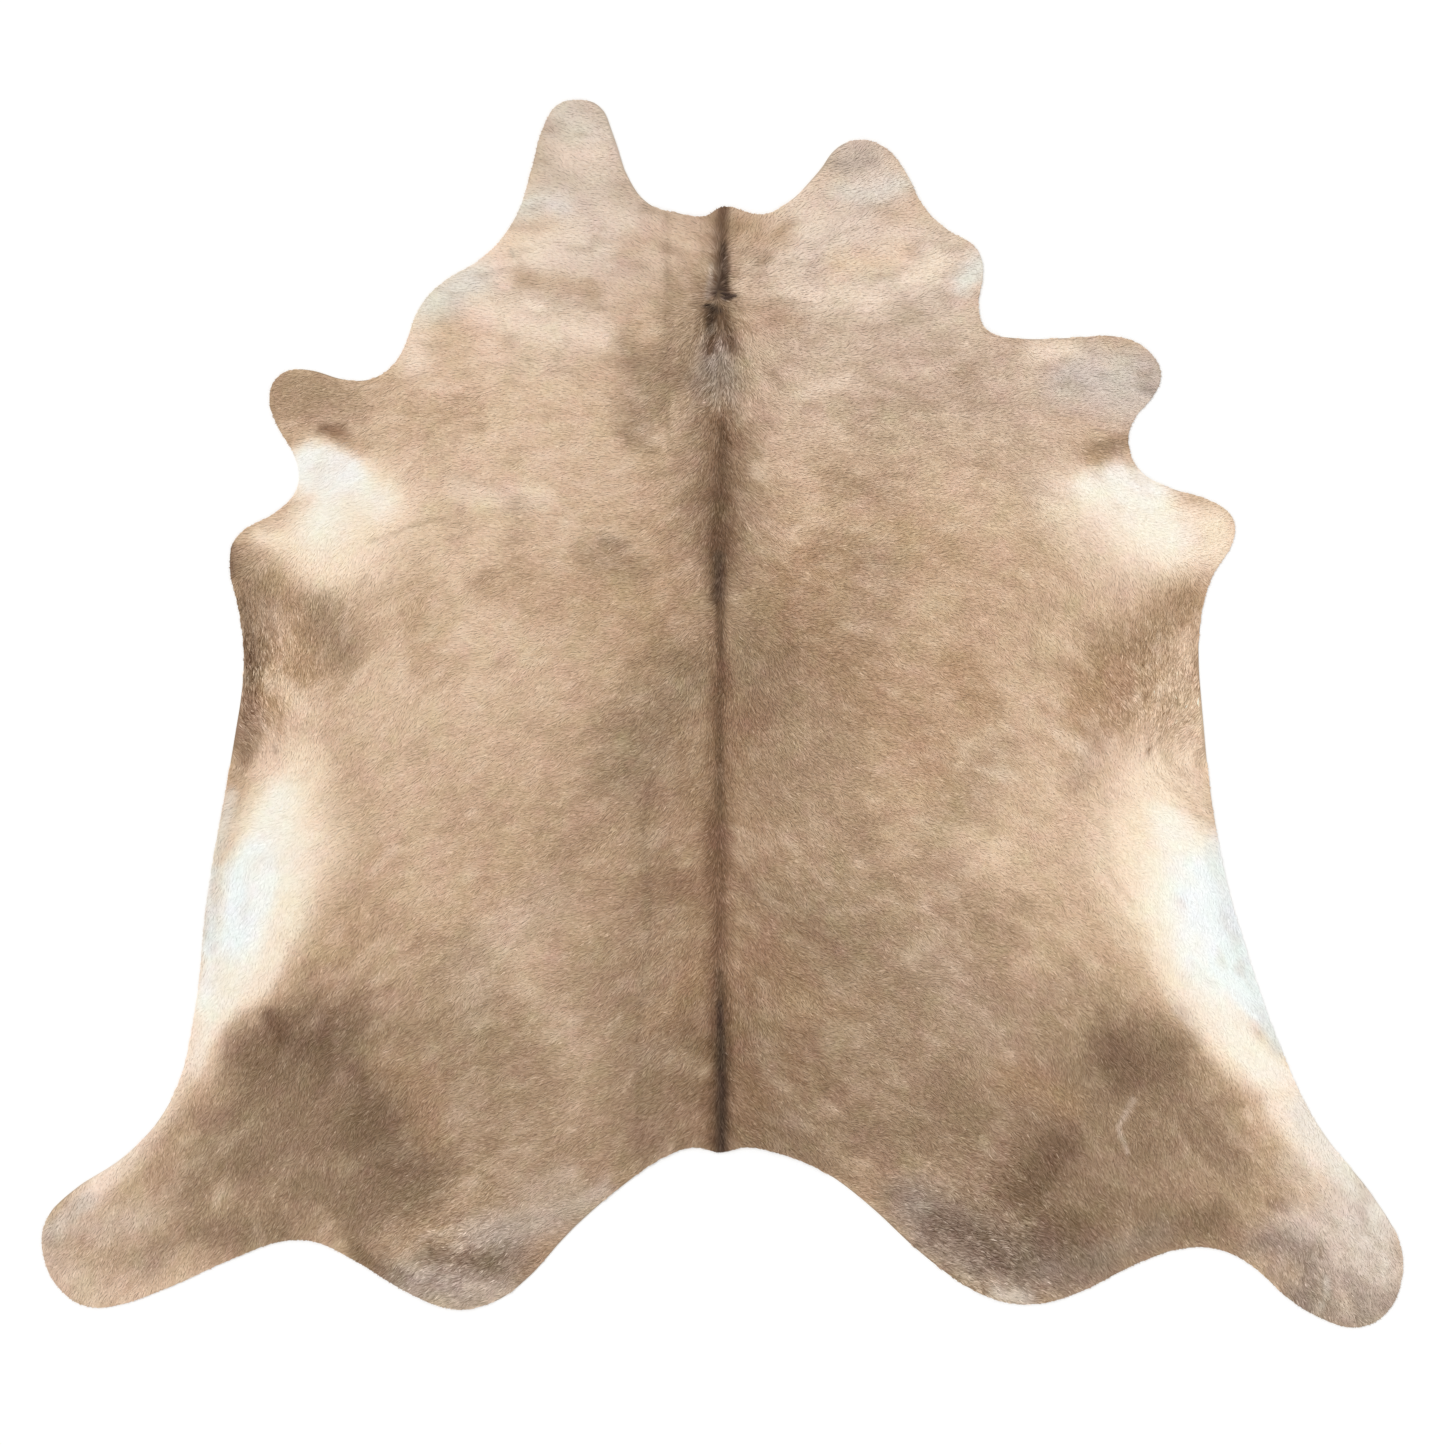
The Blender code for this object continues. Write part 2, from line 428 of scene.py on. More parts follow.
def lie_of_hair(x, y):
    """The way that the hair lies at each place, as a step of length 1."""
    x = x - spine_at(y)
    side = np.where(x < 0, -1.0, 1.0)
    step_out = np.zeros(x.shape)
    step_up = np.zeros(x.shape)
    for guide in GUIDES:
        out, up, reach = guide.out * MM, guide.up * MM, guide.reach * MM
        apart = ((np.abs(x) - out) ** 2 + (y - up) ** 2) / reach**2
        pull = np.exp(-apart / 2) / reach + FAR_PULL / (apart + 1) ** 2
        step_out += pull * np.cos(radians(guide.slope))
        step_up -= pull * np.sin(radians(guide.slope))
    step_out *= PARTING_LEFT + (1 - PARTING_LEFT) * soft_step(0, PARTING, np.abs(x))
    size = np.hypot(step_out, step_up) + 1e-9
    return side * step_out / size, step_up / size


lie_x, lie_y = lie_of_hair(over_x, over_y)
print("guides for the hair:", len(GUIDES))

# %% [markdown]
# ## Unevenness
#
# No two places on a coat are alike. Random numbers alone look like sand, so they are smoothed to
# a size first. Mottling in a coat is drawn out along the hair, so one kind is also averaged along
# the way that the hair lies, like wet paint pulled by a comb. The draws are seeded, so the hide
# is the same each time.

# %% Smooth and combed unevenness
draw = np.random.default_rng(11)


def patchy(size):
    """Soft random patches of about this size over the grid, about -1 to 1 mostly."""
    step = max(size / GRID_STEP, 1.0)
    rows = int(len(grid_y) / step) + 3
    columns = int(len(grid_x) / step) + 3
    knots = draw.standard_normal((rows, columns))
    row = np.arange(len(grid_y)) / step
    column = np.arange(len(grid_x)) / step
    j, i = row.astype(int), column.astype(int)
    up = (row - j)[:, None]
    right = (column - i)[None, :]
    up, right = up * up * (3 - 2 * up), right * right * (3 - 2 * right)
    lower = knots[j][:, i] * (1 - right) + knots[j][:, i + 1] * right
    upper = knots[j + 1][:, i] * (1 - right) + knots[j + 1][:, i + 1] * right
    return evened(lower * (1 - up) + upper * up)


def evened(field):
    """The field with a mean of 0 and a usual size of 1."""
    return (field - field.mean()) / field.std()


def combed(field, length, steps=9):
    """The field averaged along the hair, over this length."""
    total = np.zeros(field.shape)
    for share in np.linspace(-0.5, 0.5, steps):
        total += read_grid(field, over_x + share * length * lie_x, over_y + share * length * lie_y)
    return evened(total)


drift = patchy(0.200)
clouds = combed(patchy(0.045), 0.045)
mottles = combed(patchy(0.019), 0.030)
streaks = combed(patchy(0.008), 0.022)
rosiness = evened(patchy(0.040) + patchy(0.014))
feathers = evened(0.7 * clouds + 0.8 * mottles + 0.6 * streaks)
wander_x, wander_y = patchy(0.090), patchy(0.090)
print("combed unevenness, three sizes")

# %% [markdown]
# ## The markings
#
# This is a champagne cow: warm tan sides, paler neck, near-white armpits and flanks, brown-grey
# hocks, and a dark stripe down the spine. Nodes could draw them, but there are more than two
# hundred, so they are worked out in code at each lock's place and stored with the hair as
# a colour attribute. A mark is a chain of dabs, as a brush would leave: each dab has a place and
# a radius. The marks are laid on in turn, each over those before it. A few marks are painted
# light and shade rather than hair: the glare on the white armpits and flanks, and the shade
# along folds.

# %% The colours of the hair
HAIR = {
    "champagne": "#c6a88a",
    "sand": "#dcc2a7",
    "cream": "#ecdac8",
    "pale gold": "#f3e2cb",
    "butter": "#fdf8eb",
    # the next two are not hair colours but painted highlights: the glare of the light on the white armpits
    # and flanks
    "glare milk white": "#faf9f3",
    "glare blue white": "#f1f5f4",
    "pearl": "#dfe4e4",
    "oyster": "#dedad0",
    "ash": "#c6baaf",
    "rose ash": "#d0bdae",
    "olive": "#cabda6",
    "grizzle": "#978577",
    "honey": "#b3906e",
    "fawn": "#a58a6f",
    "chestnut": "#9c7452",
    "russet": "#84644c",
    "taupe": "#8f765d",
    "smoke": "#8a7e72",
    "umber": "#6a513c",
    "black brown": "#413228",
}

LIGHT_MOTTLE = "#f0e1d0"
DARK_MOTTLE = "#94765a"
# the mottling is partly the coat's own tone and partly painted light and shade of the low waves that the
# coat lies in
MOTTLING = ((drift, 0.04), (clouds, 0.05), (mottles, 0.065), (streaks, 0.07))  # how strong each is
NECK_MOTTLING = 0.3  # this much stronger on the neck
NECK_MOTTLED = (0.2, 0.8)  # it grows from the first to the second of these, up the back
DARK_TO_PALE = (0.45, 0.70)  # hair of the first tone counts as dark, and of the second as pale
DARK_CALM = 0.35  # how much mottling is left in dark hair
CALM_FROM = 0.5  # hair paler than this mottles less too, the paler the less
EDGE_WANDER = 5 * MM
SPINE_KEEPS = 0.06  # this near to the spine, a mark wanders less
FEATHER = 0.05  # how far a mark's edge is ruffled, as a share of its radius
WHITE_STRANDS = 0.08  # how strongly white strands show in the grizzled places
ROSY = np.array([0.002, -0.003, 0.002])  # how much rosier the rosy places are, of a screen colour

# Places where white hairs stand among dark ones: how far right of the middle, how far up the back
# and the radius, all in metres, and how strong it is
GRIZZLED = ((0.0, 0.57, 0.06, 0.9), (-0.01, 0.67, 0.05, 1.2), (-0.45, -0.93, 0.12, 1.1),
            (0.45, -0.92, 0.14, 1.1), (1.04, -0.95, 0.10, 0.5), (-0.81, 0.07, 0.09, 1.8),
            (0.0, 0.76, 0.05, 1.2), (0.785, 0.04, 0.10, 2.1))

# %% The marks
# strength is in per cent. A dab is how far right of the middle, how far up the back, and its
# radius, in mm. soft is how much of that radius the mark fades over, in per cent.
Mark = namedtuple("Mark", "part hair strength dabs soft", defaults=(100,))
MARKS = [Mark(*row) for row in (
    # broad washes
    ("shoulder, left", "sand", 80, ((-500, 150, 450), (-360, 620, 450))),
    ("shoulder, right", "rose ash", 55, ((160, 660, 360), (500, 580, 300))),
    ("neck, left", "cream", 90, ((-360, 800, 200), (-140, 840, 150))),
    ("neck, right", "cream", 82, ((140, 820, 180), (360, 760, 180))),
    ("ribs, right", "sand", 45, ((660, 150, 250), (560, -200, 300))),
    ("back, left", "taupe", 38, ((-50, 120, 120), (-100, -160, 260))),
    ("back, right", "taupe", 45, ((100, 140, 170), (80, -100, 210), (120, -420, 280))),
    ("rump, left", "fawn", 66, ((-120, -320, 280), (-300, -780, 450))),
    ("rump, right", "fawn", 98, ((200, -450, 360), (440, -760, 460))),
    ("haunch, left", "fawn", 80, ((-500, -620, 320), (-800, -820, 280))),
    ("haunch, right", "fawn", 80, ((600, -660, 280), (820, -840, 220))),
    ("chest, right", "honey", 35, ((160, 300, 200), (280, 280, 160))),
    ("ribs brown, right", "fawn", 42, ((250, 180, 90), (200, 40, 120), (200, -60, 100))),
    ("ribs brown, left", "honey", 40, ((-520, 180, 90), (-500, 110, 90))),
    ("chest honey, left", "honey", 34,
     ((-380, 220, 90), (-200, 200, 120), (-100, 290, 80), (-120, 130, 100))),
    ("tail root", "taupe", 95, ((40, -560, 150), (70, -760, 200))),
    ("tail root, left", "taupe", 60, ((-100, -520, 120), (-110, -740, 130))),
    ("leg inside, left", "taupe", 68, ((-660, -500, 110), (-570, -780, 160), (-600, -870, 100))),
    ("lobe inside, right", "taupe", 75, ((460, -820, 160), (680, -840, 160))),
    ("hind wash, right", "taupe", 42, ((520, -670, 120), (680, -630, 160), (740, -740, 140))),
    ("rib wash, right", "fawn", 40, ((460, -80, 90), (370, -200, 80), (420, -460, 130))),
    ("loin light, left", "champagne", 60, ((-200, -180, 90), (-200, -300, 90), (-320, -400, 100))),
    ("lobe low, left", "taupe", 35, ((-380, -960, 100), (-520, -990, 100))),
    ("lobe top, left", "rose ash", 45, ((-270, -790, 50), (-320, -830, 70))),
    # left cheek and neck
    ("cheek, left", "rose ash", 85, ((-250, 1020, 120), (-240, 920, 120)), 60),
    ("cheek shade, left", "olive", 35, ((-320, 950, 40), (-280, 910, 50), (-170, 900, 40))),
    ("cheek light, left", "cream", 55, ((-260, 965, 50), (-210, 950, 50))),
    ("cheek tip, left", "oyster", 45, ((-260, 1020, 70), (-220, 990, 50))),
    ("cheek root, left", "oyster", 80, ((-340, 865, 55), (-270, 865, 45))),
    ("neck edge, left", "fawn", 48, ((-150, 890, 50), (-50, 850, 40))),
    ("neck blush, left", "sand", 75, ((-350, 800, 50), (-290, 825, 50))),
    ("neck spot, left", "smoke", 55, ((-352, 792, 6), (-346, 781, 6))),
    ("neck light, left", "cream", 95, ((-310, 785, 60), (-205, 805, 60))),
    ("neck cool, left", "rose ash", 56, ((-150, 830, 150), (-280, 700, 160))),
    ("neck tan, left", "champagne", 50, ((-150, 790, 50), (-80, 820, 60))),
    ("shoulder tan, left", "champagne", 55, ((-340, 745, 30), (-220, 720, 40))),
    ("shoulder rim, left", "oyster", 85, ((-510, 695, 60), (-420, 745, 60))),
    ("rim shade, left", "ash", 20, ((-490, 685, 25), (-440, 690, 25))),
    ("shoulder streak, left", "cream", 90, ((-345, 703, 16), (-305, 695, 16)), 90),
    ("shoulder clouds, left", "cream", 75, ((-400, 690, 50), (-290, 655, 50), (-200, 650, 50))),
    ("withers shade, left", "taupe", 25, ((-60, 730, 60), (-70, 660, 60))),
    ("withers patch, left", "taupe", 45,
     ((-140, 620, 60), (-110, 600, 80), (-130, 530, 80), (-140, 480, 60))),
    ("withers core, left", "fawn", 30, ((-140, 600, 40), (-80, 580, 50))),
    ("arm tan, left", "honey", 28, ((-520, 500, 60), (-420, 520, 50))),
    ("arm light, left", "cream", 24, ((-400, 610, 50), (-270, 590, 40))),
    ("elbow rim, left", "cream", 70, ((-530, 660, 60), (-520, 600, 60))),
    ("rib light, left", "cream", 55, ((-450, 385, 40), (-300, 360, 40))),
    # right cheek and neck
    ("cheek, right", "rose ash", 90, ((230, 960, 90), (250, 900, 100)), 70),
    ("cheek shade, right", "smoke", 28, ((175, 945, 35), (240, 955, 40))),
    ("cheek light, right", "oyster", 62, ((200, 895, 35), (300, 905, 55))),
    ("neck tan, right", "champagne", 58, ((270, 855, 40), (320, 870, 50))),
    ("neck light, right", "cream", 60, ((140, 790, 50), (220, 830, 50))),
    ("neck cool, right", "rose ash", 64, ((180, 800, 140), (360, 740, 150))),
    ("neck root, right", "honey", 60, ((30, 830, 50), (90, 820, 50))),
    ("neck comb, right", "fawn", 45, ((30, 790, 20), (80, 785, 20))),
    ("shoulder gold, right", "sand", 85, ((200, 765, 50), (310, 785, 50))),
    ("shoulder light, right", "cream", 90, ((320, 745, 40), (370, 765, 40))),
    ("shoulder rim, right", "oyster", 95, ((440, 765, 50), (420, 740, 40)), 90),
    ("shoulder clouds, right", "cream", 60, ((130, 720, 40), (270, 700, 45))),
    ("shoulder brown, right", "fawn", 15, ((310, 690, 50), (350, 650, 60))),
    ("withers tan, right", "honey", 35, ((40, 670, 50), (110, 680, 40))),
    ("arm mottle, right", "fawn", 25, ((220, 510, 50), (310, 540, 50), (420, 580, 50))),
    ("arm light, right", "cream", 45, ((140, 555, 25), (200, 575, 25))),
    # fore shanks
    ("fore shank, left", "fawn", 42, ((-760, 540, 90), (-660, 540, 100))),
    ("shank patch, left", "taupe", 12, ((-740, 570, 40), (-680, 555, 50))),
    ("fore shank, right", "rose ash", 90, ((600, 570, 100), (700, 550, 110)), 80),
    ("shank grey, right", "ash", 88, ((600, 570, 60), (720, 575, 100))),
    ("shank light, right", "oyster", 15, ((600, 620, 40), (690, 600, 50))),
    ("shank white, right", "cream", 70, ((530, 625, 35), (585, 620, 25))),
    ("shank rim, right", "smoke", 30, ((715, 560, 14), (742, 550, 22))),
    ("elbow shade, right", "honey", 25, ((600, 465, 30), (680, 460, 30))),
    ("elbow spot, right", "fawn", 90, ((635, 452, 28), (675, 464, 24))),
    ("elbow tan, right", "honey", 70, ((615, 435, 25), (640, 430, 22))),
    # armpits
    ("armpit haze, left", "pale gold", 92, ((-660, 420, 100), (-590, 360, 120), (-660, 280, 130))),
    ("armpit arm, left", "pale gold", 90, ((-780, 305, 34), (-730, 300, 70), (-650, 270, 70))),
    ("armpit, left", "butter", 100, ((-720, 415, 60), (-665, 375, 88), (-680, 330, 83))),
    ("armpit side, left", "butter", 85, ((-630, 395, 70), (-590, 370, 60))),
    # painted highlight: the glare of the light on the white armpit
    ("armpit glare, left", "glare milk white", 100, ((-715, 430, 50), (-670, 405, 60), (-630, 405, 40)), 80),
    # painted shade of a faint fold in the leather
    ("armpit line, left", "fawn", 30, ((-605, 300, 9), (-540, 322, 9), (-475, 338, 7))),
    ("elbow spot, left", "russet", 85, ((-682, 482, 24), (-652, 474, 30))),
    ("elbow tail, left", "honey", 50, ((-660, 467, 30), (-610, 448, 30))),
    ("armpit haze, right", "cream", 80, ((580, 370, 100), (700, 300, 140), (820, 290, 90))),
    ("armpit arm, right", "pale gold", 95, ((840, 310, 70), (740, 310, 100)), 80),
    ("armpit, right", "butter", 90, ((620, 390, 45), (700, 345, 90), (770, 300, 65))),
    # painted highlight: the glare of the light on the white armpit
    ("armpit glare, right", "glare milk white", 80, ((660, 405, 45), (740, 375, 60))),
    ("armpit tip, right", "sand", 55, ((880, 300, 35), (865, 350, 30))),
    # behind the elbows
    ("elbow haze, left", "honey", 75, ((-790, 200, 90), (-730, 120, 130), (-780, 20, 70))),
    ("elbow corner, left", "umber", 90, ((-838, 283, 24), (-838, 245, 22))),
    ("elbow band, left", "taupe", 62, ((-820, 250, 65), (-790, 180, 70), (-810, 80, 40))),
    ("elbow blob, left", "taupe", 50, ((-690, 180, 70), (-660, 120, 80))),
    ("elbow light, left", "sand", 30, ((-760, 165, 30), (-750, 115, 35))),
    ("flank light, left", "sand", 80, ((-765, 70, 35), (-720, 0, 60), (-700, -80, 60))),
    ("flank rim, left", "umber", 52, ((-827, 190, 30), (-817, 100, 33), (-815, 0, 40), (-823, -60, 38))),
    ("rib honey, left", "honey", 20, ((-630, 210, 60), (-600, 110, 60))),
    ("elbow haze, right", "honey", 62, ((800, 190, 55), (740, 130, 110), (660, 50, 130))),
    ("elbow dark, right", "taupe", 28, ((790, 185, 40), (750, 145, 70), (690, 90, 110), (660, 40, 80))),
    ("elbow rim, right", "taupe", 10, ((820, 180, 25), (815, 100, 20))),
    ("elbow low, right", "honey", 60, ((660, 60, 70), (600, -10, 80))),
    ("elbow light, right", "sand", 80, ((795, 120, 35), (790, 60, 45), (800, -20, 45), (820, -110, 45))),
    ("rib honey, right", "honey", 60, ((400, 90, 70), (440, 20, 60))),
    # flanks
    ("flank haze, left", "pale gold", 90, ((-730, -110, 100), (-720, -220, 140), (-800, -380, 100))),
    ("flank tail haze, left", "pale gold", 70, ((-820, -460, 70), (-900, -580, 70))),
    ("flank, left", "butter", 100, ((-750, -150, 60), (-775, -220, 110), (-785, -360, 100)), 90),
    ("flank tail, left", "butter", 90, ((-800, -420, 70), (-880, -510, 70), (-910, -580, 40)), 80),
    ("flank end, left", "cream", 90,
     ((-910, -540, 50), (-965, -660, 60), (-1030, -755, 55), (-1090, -820, 40)), 90),
    # painted highlights: the glare and sheen of the light on the white flank
    ("flank glare, left", "glare blue white", 100, ((-812, -285, 68), (-840, -370, 76)), 80),
    ("flank glare low, left", "glare milk white", 90, ((-878, -400, 35), (-880, -440, 35), (-885, -490, 30))),
    ("flank sheen, left", "glare blue white", 92, ((-795, -240, 50), (-795, -320, 50))),
    ("flank gold, left", "pale gold", 50, ((-745, -320, 30), (-768, -410, 34), (-810, -490, 30))),
    # painted highlight: more glare on the white flank
    ("flank white, left", "glare milk white", 85, ((-790, -260, 36), (-785, -330, 34))),
    ("whorl light, left", "pale gold", 28, ((-790, -90, 35), (-800, -140, 35))),
    ("flank rim shade, left", "oyster", 70, ((-845, -140, 30), (-865, -220, 25), (-885, -320, 20))),
    ("flank cool rim, left", "pearl", 60, ((-875, -270, 25), (-875, -330, 30), (-885, -400, 25))),
    ("flank inner, left", "honey", 25, ((-640, -360, 60), (-660, -470, 70))),
    ("whorl brown, left", "fawn", 50, ((-800, -20, 35), (-830, -100, 25))),
    ("whorl, left", "umber", 30, ((-770, -60, 8), (-765, -68, 7))),
    ("flank haze, right", "pale gold", 92, ((740, -110, 110), (720, -220, 160), (800, -400, 130))),
    ("flank, right", "butter", 100,
     ((760, -180, 60), (790, -240, 100), (785, -340, 100), (840, -460, 110)), 90),
    ("flank tail, right", "butter", 92, ((820, -470, 68), (917, -600, 66), (1010, -690, 45)), 80),
    ("flank end, right", "cream", 100,
     ((950, -660, 60), (1050, -770, 70), (1100, -840, 65), (1130, -880, 50)), 80),
    ("shank cool, right", "oyster", 74, ((980, -670, 55), (1060, -780, 60), (1140, -880, 50))),
    # painted highlight: the glare of the light on the white flank
    ("flank glare, right", "glare blue white", 100, ((818, -290, 74), (852, -380, 112), (925, -490, 55)), 70),
    ("flank rim shade, right", "oyster", 50, ((860, -250, 40), (890, -380, 25), (940, -540, 20))),
    ("flank cool rim, right", "pearl", 90,
     ((850, -230, 45), (885, -360, 60), (920, -460, 50), (960, -560, 35))),
    ("flank gold, right", "pale gold", 45, ((755, -430, 40), (815, -530, 40), (870, -610, 35))),
    ("whorl light, right", "pale gold", 42, ((800, -70, 40), (830, -150, 35))),
    ("flank rim tan, right", "sand", 45, ((825, -70, 25), (845, -160, 20))),
    ("flank inner, right", "fawn", 45, ((630, -45, 60), (605, -110, 40))),
    ("haunch top, right", "fawn", 48, ((500, -500, 60), (600, -455, 75), (700, -500, 60))),
    ("whorl, right", "fawn", 65, ((736, -56, 7), (733, -65, 8))),
    # left hind leg
    ("leg, left", "taupe", 70, ((-740, -600, 140), (-750, -710, 170), (-820, -780, 60))),
    ("hind patch, left", "umber", 50, ((-770, -570, 100), (-690, -550, 120))),
    ("hind patch top, left", "umber", 60, ((-775, -515, 28), (-760, -550, 30))),
    ("hind streak, left", "russet", 45, ((-765, -535, 30), (-785, -600, 35))),
    ("inner patch, left", "umber", 37, ((-610, -630, 80), (-590, -710, 100), (-520, -790, 90))),
    ("leg ridge, left", "taupe", 52, ((-790, -600, 60), (-830, -690, 75), (-920, -820, 62))),
    ("leg rear, left", "taupe", 60, ((-520, -800, 80), (-610, -840, 100), (-700, -820, 70))),
    ("hock shade, left", "taupe", 60, ((-920, -880, 45), (-830, -890, 50), (-760, -870, 40))),
    ("leg red, left", "honey", 40, ((-580, -590, 70), (-510, -630, 70), (-500, -710, 60))),
    ("foot, left", "rose ash", 63, ((-1000, -890, 100), (-1110, -920, 140)), 90),
    ("foot tan, left", "honey", 40, ((-1100, -920, 50), (-1040, -930, 60), (-940, -880, 40))),
    ("foot rim, left", "sand", 36, ((-1130, -970, 50), (-1020, -985, 60), (-900, -945, 65))),
    ("foot top, left", "ash", 55, ((-1150, -880, 30), (-1090, -820, 30))),
    ("foot spot, left", "umber", 22, ((-985, -940, 35), (-950, -900, 35))),
    ("lobe, left", "grizzle", 70, ((-380, -920, 90), (-450, -970, 110), (-540, -970, 70))),
    ("lobe white, left", "ash", 42, ((-370, -980, 50), (-460, -1000, 70), (-540, -980, 60))),
    ("lobe top grey, left", "ash", 50, ((-210, -810, 40), (-300, -870, 50), (-420, -890, 50))),
    ("lobe spot, left", "umber", 32, ((-470, -930, 30), (-400, -940, 40))),
    ("lobe edge, left", "umber", 45, ((-620, -930, 30), (-550, -970, 30))),
    # right hind leg
    ("hind arch, right", "umber", 50, ((690, -570, 100), (740, -580, 100))),
    ("arch limb, right", "taupe", 62, ((740, -580, 80), (805, -655, 92), (865, -760, 70))),
    ("arch foot, right", "umber", 24, ((670, -560, 60), (660, -620, 60))),
    ("inner patch, right", "umber", 53, ((530, -810, 80), (570, -740, 80))),
    ("inner spot, right", "umber", 42, ((570, -875, 50), (600, -860, 45))),
    ("hock spot, right", "umber", 40, ((790, -875, 45), (840, -860, 40))),
    ("shank spot, right", "russet", 60, ((940, -830, 25), (955, -840, 22))),
    ("thigh red, right", "honey", 50, ((500, -620, 70), (580, -660, 50))),
    ("thigh light, right", "champagne", 26, ((720, -800, 60), (810, -805, 60))),
    ("scars, right", "rose ash", 55, ((700, -650, 10), (675, -700, 9), (690, -745, 7))),
    ("lobe, right", "grizzle", 95, ((330, -840, 80), (440, -920, 110), (600, -950, 90))),
    ("lobe dark, right", "umber", 42, ((370, -880, 55), (480, -920, 70), (610, -900, 65))),
    ("lobe rim, right", "taupe", 32, ((600, -970, 60), (720, -910, 55), (840, -900, 50))),
    ("hock grey, right", "smoke", 36, ((650, -930, 50), (740, -890, 50))),
    ("lobe edge, right", "grizzle", 40, ((340, -895, 30), (420, -950, 30))),
    ("lobe light, right", "oyster", 50, ((470, -985, 28), (530, -998, 28))),
    ("foot, right", "rose ash", 100, ((980, -880, 90), (1020, -880, 100), (1100, -960, 160)), 90),
    ("foot cool, right", "oyster", 45, ((1090, -870, 60), (1130, -930, 70))),
    ("foot rim, right", "grizzle", 50, ((980, -1010, 40), (1060, -1040, 50), (1150, -1000, 50))),
    ("foot shade, right", "grizzle", 74, ((920, -900, 65), (1000, -940, 70), (1000, -1020, 60))),
    ("foot heel, right", "grizzle", 36, ((930, -955, 30), (980, -990, 30))),
    ("foot grey, right", "grizzle", 55, ((1060, -970, 50), (1100, -1020, 50))),
    ("foot light, right", "oyster", 40, ((1030, -970, 12), (1020, -1020, 12))),
    ("shank soft, right", "oyster", 30, ((970, -770, 50), (1050, -840, 50), (1120, -880, 40))),
    # back and ribs
    ("back olive, right", "taupe", 48, ((40, 140, 60), (50, 80, 60), (100, 100, 70))),
    ("back red, right", "russet", 35, ((90, 20, 60), (20, -30, 50))),
    ("loin pale, right", "champagne", 40, ((60, -190, 70), (140, -240, 90))),
    ("loin brown, right", "russet", 18, ((120, -340, 70), (180, -400, 60))),
    ("rib light, right", "sand", 50, ((400, -210, 50), (500, -250, 80))),
    ("shoulder light low, right", "sand", 48, ((340, 390, 70), (460, 340, 90))),
    ("haunch light, right", "sand", 20, ((340, -800, 60), (420, -790, 60))),
    ("rump pale, right", "rose ash", 20, ((350, -420, 80), (460, -550, 90))),
    ("rump red, right", "russet", 26, ((160, -580, 80), (220, -630, 90))),
    ("rump dark, right", "taupe", 40, ((380, -630, 50), (400, -680, 75), (300, -730, 70), (210, -710, 50))),
    ("rump grey, right", "ash", 15, ((70, -570, 40), (110, -690, 40))),
    ("chest brown, right", "fawn", 35, ((200, 390, 50), (280, 370, 50))),
    ("chest low, right", "fawn", 50, ((180, 290, 60), (290, 240, 60))),
    ("chest light, right", "sand", 50, ((110, 410, 40), (170, 330, 40), (110, 300, 30))),
    ("chest honey, right", "honey", 26, ((100, 310, 50), (200, 280, 60))),
    ("rump honey, right", "honey", 26, ((140, -500, 60), (220, -510, 70))),
    ("back brown, left", "taupe", 46, ((-80, 100, 60), (-40, 60, 60), (-120, 0, 100), (-170, -100, 90))),
    ("back chestnut", "chestnut", 28, ((0, -40, 120), (-20, -250, 180), (20, -660, 150))),
    ("back chestnut, right", "chestnut", 26, ((120, 230, 80), (130, 160, 120), (360, -80, 120))),
    ("rump chestnut, right", "chestnut", 18, ((100, -420, 100), (100, -620, 100))),
    ("loin brown, left", "russet", 20, ((-150, -320, 50), (-80, -300, 60))),
    ("rump tan, left", "honey", 45, ((-120, -520, 60), (-50, -460, 50))),
    ("rump light, left", "sand", 30, ((-360, -380, 90), (-250, -550, 90), (-260, -680, 70))),
    ("loin edge, left", "champagne", 40, ((-70, -180, 50), (-65, -250, 40))),
    ("loin cool, left", "rose ash", 25, ((-290, -320, 80), (-420, -430, 90), (-420, -520, 50))),
    ("rump shade, left", "taupe", 36, ((-45, -560, 32), (-45, -660, 32))),
    ("loin shade, right", "taupe", 30, ((35, -290, 35), (75, -310, 40))),
    ("rump warm, right", "champagne", 28, ((100, -500, 60), (120, -520, 50))),
    ("side light, left", "sand", 35, ((-500, -300, 80), (-520, -200, 80), (-560, -100, 70))),
    ("chest patch, left", "fawn", 50, ((-220, 270, 50), (-140, 250, 50))),
    ("chest brown, left", "taupe", 45, ((-200, 295, 20), (-160, 290, 20))),
    ("fold shade, neck", "taupe", 22, ((-86, 850, 12), (-88, 450, 12))),
    ("fold shade, rump", "taupe", 30, ((-128, -40, 10), (-136, -400, 13), (-140, -740, 10))),
    # the stripe down the back
    ("neck stripe haze", "fawn", 80, ((-3, 870, 40), (-6, 720, 45))),
    ("cowlick haze", "taupe", 92, ((-8, 690, 55), (-8, 600, 85))),
    ("saddle grey", "grizzle", 95, ((-10, 625, 45), (-10, 570, 60), (-2, 520, 45)), 90),
    ("saddle light", "ash", 10, ((-8, 600, 20), (4, 550, 30))),
    ("withers stripe haze", "fawn", 100, ((-16, 500, 100), (-6, 400, 120), (6, 300, 130), (-2, 200, 60))),
    ("withers flare, right", "fawn", 40, ((30, 480, 35), (50, 450, 30))),
    ("withers stripe", "russet", 78, ((0, 505, 30), (4, 430, 62), (-2, 350, 72), (-6, 260, 46))),
    ("withers core", "umber", 60, ((0, 495, 14), (-2, 400, 28), (-6, 300, 34), (-7, 200, 22))),
    ("withers end", "black brown", 48, ((-6, 275, 17), (-7, 194, 13))),
    ("rib line haze", "russet", 40, ((-6, 170, 35), (-5, 50, 35))),
    ("rib line", "umber", 78, ((-4, 190, 11), (-3, 60, 11))),
    ("loin band", "russet", 65, ((-4, 80, 32), (-6, -250, 36))),
